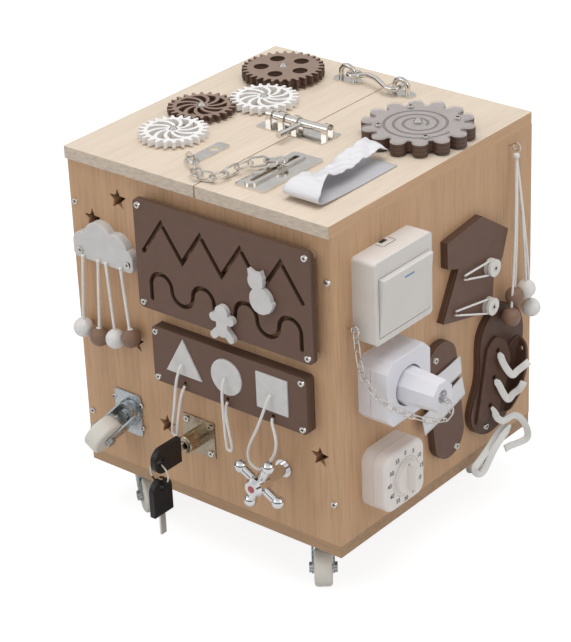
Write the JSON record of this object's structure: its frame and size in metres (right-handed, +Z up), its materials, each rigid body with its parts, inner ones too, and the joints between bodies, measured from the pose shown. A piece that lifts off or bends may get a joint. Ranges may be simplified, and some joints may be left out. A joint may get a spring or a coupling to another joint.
{
  "type": "wooden activity cube",
  "caption": "Wooden busy cube on casters with gears, latches and a chain on top, a maze, shape sorter, lock and tap in front, and switch, plug, timer and lacing at the side.",
  "frame": {"origin": "on the floor under the middle of the cube", "axes": "+Z up, -Y out of the front with the maze, +X out of the side with the light switch"},
  "size_m": [0.3993, 0.3815, 0.408],
  "materials": {
    "beech": "satin clear lacquer",
    "taupe_wood": "matte paint",
    "white_wood": "matte paint",
    "clear_plastic": "clear, faintly grey",
    "bright_steel": "nickel plated",
    "zinc_steel": "zinc plated",
    "ivory_wheel": "smooth",
    "black_plastic": "fine grained",
    "white_plastic": "satin",
    "white_cord": "braided",
    "grey_fabric": "satin weave",
    "brown_leather": "smooth matte"
  },
  "bodies": {
    "cube": {"base_board": "beech", "caster_plates": "zinc_steel", "cloud": "white_wood", "coat_buttons": "white_plastic", "coat_loops": "white_cord", "door_chain": "bright_steel", "fabric_straps": "grey_fabric", "fasteners": "bright_steel", "front_panel": "beech", "gear_pivots": "bright_steel", "latch_plates": "bright_steel", "lock_body": "bright_steel", "maze_board": "taupe_wood", "plug_chain": "bright_steel", "shape_cords": "white_cord", "shoe_lace": "white_cord", "shoe_upper": "brown_leather", "side_boards": "taupe_wood", "sorter_board": "taupe_wood", "switch_box": "white_plastic", "tap_stem": "bright_steel", "timer_case": "white_plastic", "top_boards": "beech", "wall_panels": "beech", "wall_socket": "white_plastic"},
    "gear_large": {"gear_large": "taupe_wood"},
    "gear_white_rear": {"gear_white_rear": "white_wood"},
    "gear_brown": {"gear_brown": "taupe_wood"},
    "gear_white_front": {"gear_white_front": "white_wood"},
    "spiral": {"spiral_wheel": "taupe_wood", "spiral_cover": "clear_plastic"},
    "chain_slider": {"chain_slider": "bright_steel"},
    "bolt": {"bolt_rod": "bright_steel"},
    "hook": {"hook_arm": "bright_steel"},
    "cat": {"cat_slider": "white_wood"},
    "man": {"man_slider": "white_wood"},
    "shape_triangle": {"shape_triangle": "white_wood"},
    "shape_disc": {"shape_disc": "white_wood"},
    "shape_square": {"shape_square": "white_wood"},
    "caster_fork_front": {"caster_fork_front": "zinc_steel"},
    "caster_wheel_front": {"caster_wheel_front": "ivory_wheel"},
    "caster_fork_1": {"caster_fork_1": "zinc_steel"},
    "caster_wheel_1": {"caster_wheel_1": "ivory_wheel"},
    "caster_fork_2": {"caster_fork_2": "zinc_steel"},
    "caster_wheel_2": {"caster_wheel_2": "ivory_wheel"},
    "caster_fork_3": {"caster_fork_3": "zinc_steel"},
    "caster_wheel_3": {"caster_wheel_3": "ivory_wheel"},
    "caster_fork_4": {"caster_fork_4": "zinc_steel"},
    "caster_wheel_4": {"caster_wheel_4": "ivory_wheel"},
    "lock_key": {"lock_key": "black_plastic"},
    "spare_key": {"spare_key": "black_plastic"},
    "tap_handle": {"tap_handle": "bright_steel"},
    "rocker": {"switch_rocker": "white_plastic"},
    "plug": {"plug": "white_plastic"},
    "timer_knob": {"timer_knob": "white_plastic"},
    "cloud_drop_1": {"cloud_drop_1": "white_wood"},
    "cloud_drop_2": {"cloud_drop_2": "white_wood"},
    "cloud_drop_3": {"cloud_drop_3": "white_wood"},
    "cloud_drop_4": {"cloud_drop_4": "white_wood"},
    "bead_bunch": {"bead_bunch": "white_wood"}
  },
  "joints": [
    {"name": "gear_large_spin", "type": "hinge", "parent": "cube", "child": "gear_large", "pos_m": [-0.09513, 0.09085, 0.39], "axis": [0, 0, 1], "continuous": true},
    {"name": "gear_white_rear_spin", "type": "hinge", "parent": "cube", "child": "gear_white_rear", "pos_m": [-0.0667, 0.02698, 0.39], "axis": [0, 0, 1], "continuous": true},
    {"name": "gear_brown_spin", "type": "hinge", "parent": "cube", "child": "gear_brown", "pos_m": [-0.10235, -0.02395, 0.39], "axis": [0, 0, 1], "continuous": true},
    {"name": "gear_white_front_spin", "type": "hinge", "parent": "cube", "child": "gear_white_front", "pos_m": [-0.08574, -0.08386, 0.39], "axis": [0, 0, 1], "continuous": true},
    {"name": "spiral_spin", "type": "hinge", "parent": "cube", "child": "spiral", "pos_m": [0.103, 0.04635, 0.39], "axis": [0, 0, 1], "continuous": true},
    {"name": "chain_slide", "type": "slide", "parent": "cube", "child": "chain_slider", "axis": [0, 1, 0], "range_m": [-0.04, 0.022], "deforming": ["door_chain"]},
    {"name": "bolt_slide", "type": "slide", "parent": "cube", "child": "bolt", "axis": [1, 0, 0], "range_m": [0, 0.0235]},
    {"name": "hook_swing", "type": "hinge", "parent": "cube", "child": "hook", "pos_m": [-0.02917, 0.12051, 0.398], "axis": [0, 0, -1], "range_deg": [0, 75]},
    {"name": "cat_slide", "type": "slide", "parent": "cube", "child": "cat", "axis": [-0.5716, 0, 0.8206], "range_m": [0, 0.0401]},
    {"name": "man_swing", "type": "hinge", "parent": "cube", "child": "man", "pos_m": [0.04043, -0.1545, 0.28043], "axis": [0, 1, 0], "range_deg": [-80, 80]},
    {"name": "shape_triangle_pull", "type": "slide", "parent": "cube", "child": "shape_triangle", "axis": [0, -1, 0], "range_m": [0, 0.03], "deforming": ["shape_cords"]},
    {"name": "shape_disc_pull", "type": "slide", "parent": "cube", "child": "shape_disc", "axis": [0, -1, 0], "range_m": [0, 0.03], "deforming": ["shape_cords"]},
    {"name": "shape_square_pull", "type": "slide", "parent": "cube", "child": "shape_square", "axis": [0, -1, 0], "range_m": [0, 0.03], "deforming": ["shape_cords"]},
    {"name": "caster_swivel_front", "type": "hinge", "parent": "cube", "child": "caster_fork_front", "pos_m": [-0.10111, -0.1545, 0.1214], "axis": [0, -1, 0], "continuous": true},
    {"name": "caster_roll_front", "type": "hinge", "parent": "caster_fork_front", "child": "caster_wheel_front", "pos_m": [-0.10862, -0.186, 0.10841], "axis": [-0.866, 0, 0.5], "continuous": true},
    {"name": "caster_swivel_1", "type": "hinge", "parent": "cube", "child": "caster_fork_1", "pos_m": [-0.113, -0.1265, 0.05], "axis": [0, 0, -1], "continuous": true},
    {"name": "caster_roll_1", "type": "hinge", "parent": "caster_fork_1", "child": "caster_wheel_1", "pos_m": [-0.10071, -0.1351, 0.0185], "axis": [0.5736, 0.8192, 0], "continuous": true},
    {"name": "caster_swivel_2", "type": "hinge", "parent": "cube", "child": "caster_fork_2", "pos_m": [0.113, -0.1265, 0.05], "axis": [0, 0, -1], "continuous": true},
    {"name": "caster_roll_2", "type": "hinge", "parent": "caster_fork_2", "child": "caster_wheel_2", "pos_m": [0.12223, -0.13832, 0.0185], "axis": [0.788, 0.6157, 0], "continuous": true},
    {"name": "caster_swivel_3", "type": "hinge", "parent": "cube", "child": "caster_fork_3", "pos_m": [0.113, 0.1265, 0.05], "axis": [0, 0, -1], "continuous": true},
    {"name": "caster_roll_3", "type": "hinge", "parent": "caster_fork_3", "child": "caster_wheel_3", "pos_m": [0.1205, 0.11351, 0.0185], "axis": [0.866, 0.5, 0], "continuous": true},
    {"name": "caster_swivel_4", "type": "hinge", "parent": "cube", "child": "caster_fork_4", "pos_m": [-0.113, 0.1265, 0.05], "axis": [0, 0, -1], "continuous": true},
    {"name": "caster_roll_4", "type": "hinge", "parent": "caster_fork_4", "child": "caster_wheel_4", "pos_m": [-0.10151, 0.11686, 0.0185], "axis": [0.6428, 0.766, 0], "continuous": true},
    {"name": "key_turn", "type": "hinge", "parent": "cube", "child": "lock_key", "pos_m": [-0.01039, -0.1545, 0.12514], "axis": [0, -1, 0], "range_deg": [0, 90]},
    {"name": "spare_key_swing", "type": "hinge", "parent": "lock_key", "child": "spare_key", "pos_m": [-0.01039, -0.214, 0.12276], "axis": [-1, 0, 0], "range_deg": [-15, 60]},
    {"name": "tap_turn", "type": "hinge", "parent": "cube", "child": "tap_handle", "pos_m": [0.09292, -0.1545, 0.12548], "axis": [0, 1, 0], "continuous": true},
    {"name": "rocker_tilt", "type": "hinge", "parent": "cube", "child": "rocker", "pos_m": [0.181, -0.08559, 0.30306], "axis": [0, 1, 0], "range_deg": [-10, 0]},
    {"name": "plug_pull", "type": "slide", "parent": "cube", "child": "plug", "axis": [1, 0, 0], "range_m": [0, 0.03], "deforming": ["plug_chain"]},
    {"name": "timer_turn", "type": "hinge", "parent": "cube", "child": "timer_knob", "pos_m": [0.1575, -0.09085, 0.11766], "axis": [1, 0, 0], "range_deg": [-330, 0]},
    {"name": "cloud_drop_1_swing", "type": "hinge", "parent": "cube", "child": "cloud_drop_1", "pos_m": [-0.13678, -0.1657, 0.28422], "axis": [-1, 0, 0], "range_deg": [0, 60]},
    {"name": "cloud_drop_2_swing", "type": "hinge", "parent": "cube", "child": "cloud_drop_2", "pos_m": [-0.11701, -0.1657, 0.28422], "axis": [-1, 0, 0], "range_deg": [0, 60]},
    {"name": "cloud_drop_3_swing", "type": "hinge", "parent": "cube", "child": "cloud_drop_3", "pos_m": [-0.10713, -0.1657, 0.28422], "axis": [-1, 0, 0], "range_deg": [0, 60]},
    {"name": "cloud_drop_4_swing", "type": "hinge", "parent": "cube", "child": "cloud_drop_4", "pos_m": [-0.08814, -0.1657, 0.28422], "axis": [-1, 0, 0], "range_deg": [0, 60]},
    {"name": "bead_bunch_swing", "type": "hinge", "parent": "cube", "child": "bead_bunch", "pos_m": [0.1655, 0.11711, 0.36892], "axis": [0, -1, 0], "range_deg": [0, 40]}
  ],
  "couplings": [
    {"joint": "gear_white_rear_spin", "follows": "gear_large_spin", "ratio": -1.25},
    {"joint": "gear_brown_spin", "follows": "gear_large_spin", "ratio": 1.25},
    {"joint": "gear_white_front_spin", "follows": "gear_large_spin", "ratio": -1.25}
  ]
}
